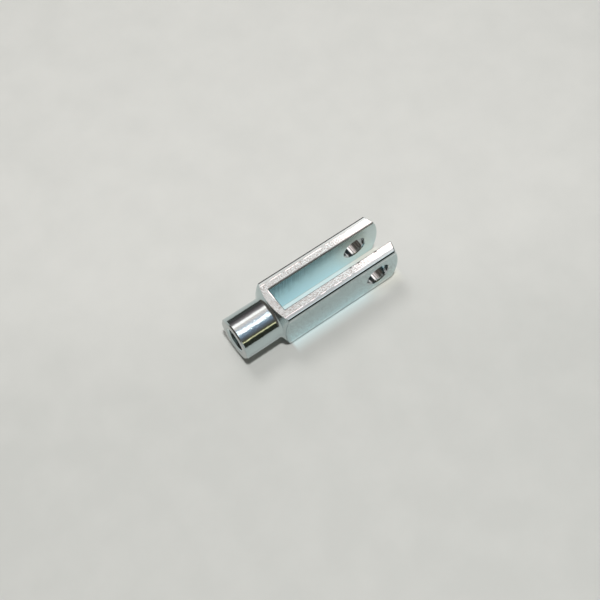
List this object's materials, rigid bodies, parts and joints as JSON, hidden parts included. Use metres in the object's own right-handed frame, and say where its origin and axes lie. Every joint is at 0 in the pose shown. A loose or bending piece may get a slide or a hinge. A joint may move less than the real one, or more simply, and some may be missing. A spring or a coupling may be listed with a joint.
{
  "type": "clevis rod end",
  "caption": "Fork head machined from square bar, with a threaded turned shank for a rod and two ears bored for a clevis pin.",
  "frame": {"origin": "middle of the pin bore, halfway between the two ears", "axes": "+X along the rod's axis, out through the fork tips; Y along the pin; +Z out of the open slot, away from the flat that the fork lies on"},
  "size_m": [0.0574, 0.016, 0.016],
  "materials": {
    "zinc_plated_steel": "bright zinc plating with a blue-white passivate over drawn, milled and turned steel"
  },
  "bodies": {
    "root": {"clevis": "zinc_plated_steel"}
  },
  "joints": []
}
